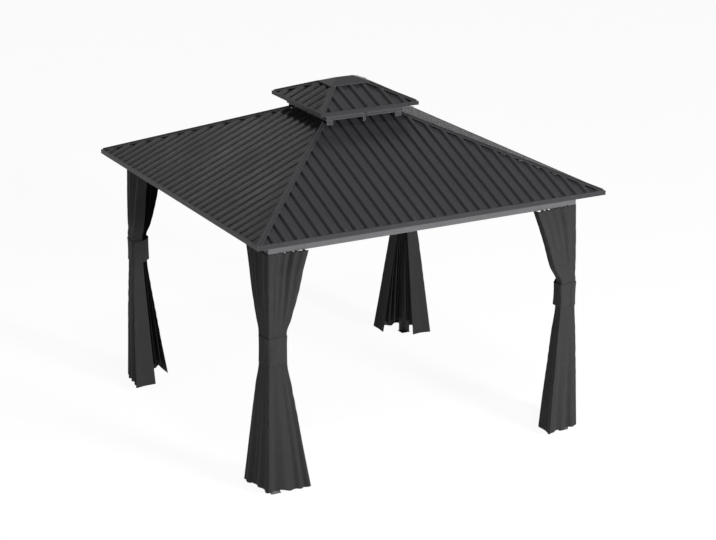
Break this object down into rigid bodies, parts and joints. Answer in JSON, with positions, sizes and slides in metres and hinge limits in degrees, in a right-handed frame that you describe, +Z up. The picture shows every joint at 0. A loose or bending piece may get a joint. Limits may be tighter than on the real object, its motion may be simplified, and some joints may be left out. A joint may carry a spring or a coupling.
{
  "type": "metal gazebo",
  "caption": "Square hardtop gazebo on corner posts, with ribbed hipped metal roof, raised vented cap roof and tied-back curtains at the corners.",
  "frame": {"origin": "on the floor, at the centre of the plan", "axes": "+Z up; -Y is the front and -X the left side; the short top ridge runs along X"},
  "size_m": [3, 3, 2.8015],
  "materials": {
    "roof_steel": "satin",
    "frame_steel": "satin",
    "beam_aluminium": "satin",
    "post_aluminium": "satin",
    "rail_aluminium": "satin",
    "curtain_fabric": "matte"
  },
  "bodies": {
    "root": {"front_roof_panel": "roof_steel", "front_eave_trim": "roof_steel", "front_upper_panel": "roof_steel", "front_vent_rail": "frame_steel", "front_mid_rafter": "frame_steel", "front_beam": "beam_aluminium", "front_curtain_rail": "rail_aluminium", "right_roof_panel": "roof_steel", "right_eave_trim": "roof_steel", "right_upper_panel": "roof_steel", "right_vent_rail": "frame_steel", "right_mid_rafter": "frame_steel", "right_beam": "beam_aluminium", "right_curtain_rail": "rail_aluminium", "back_roof_panel": "roof_steel", "back_eave_trim": "roof_steel", "back_upper_panel": "roof_steel", "back_vent_rail": "frame_steel", "back_mid_rafter": "frame_steel", "back_beam": "beam_aluminium", "back_curtain_rail": "rail_aluminium", "left_roof_panel": "roof_steel", "left_eave_trim": "roof_steel", "left_upper_panel": "roof_steel", "left_vent_rail": "frame_steel", "left_mid_rafter": "frame_steel", "left_beam": "beam_aluminium", "left_curtain_rail": "rail_aluminium", "front_left_hip_cap": "roof_steel", "front_left_hip_rafter": "frame_steel", "front_left_post": "post_aluminium", "front_left_curtain": "curtain_fabric", "front_left_tie_band": "curtain_fabric", "front_right_hip_cap": "roof_steel", "front_right_hip_rafter": "frame_steel", "front_right_post": "post_aluminium", "front_right_curtain": "curtain_fabric", "front_right_tie_band": "curtain_fabric", "back_right_hip_cap": "roof_steel", "back_right_hip_rafter": "frame_steel", "back_right_post": "post_aluminium", "back_right_curtain": "curtain_fabric", "back_right_tie_band": "curtain_fabric", "back_left_hip_cap": "roof_steel", "back_left_hip_rafter": "frame_steel", "back_left_post": "post_aluminium", "back_left_curtain": "curtain_fabric", "back_left_tie_band": "curtain_fabric", "upper_roof_cap": "roof_steel", "crown_hub": "frame_steel"}
  },
  "joints": []
}
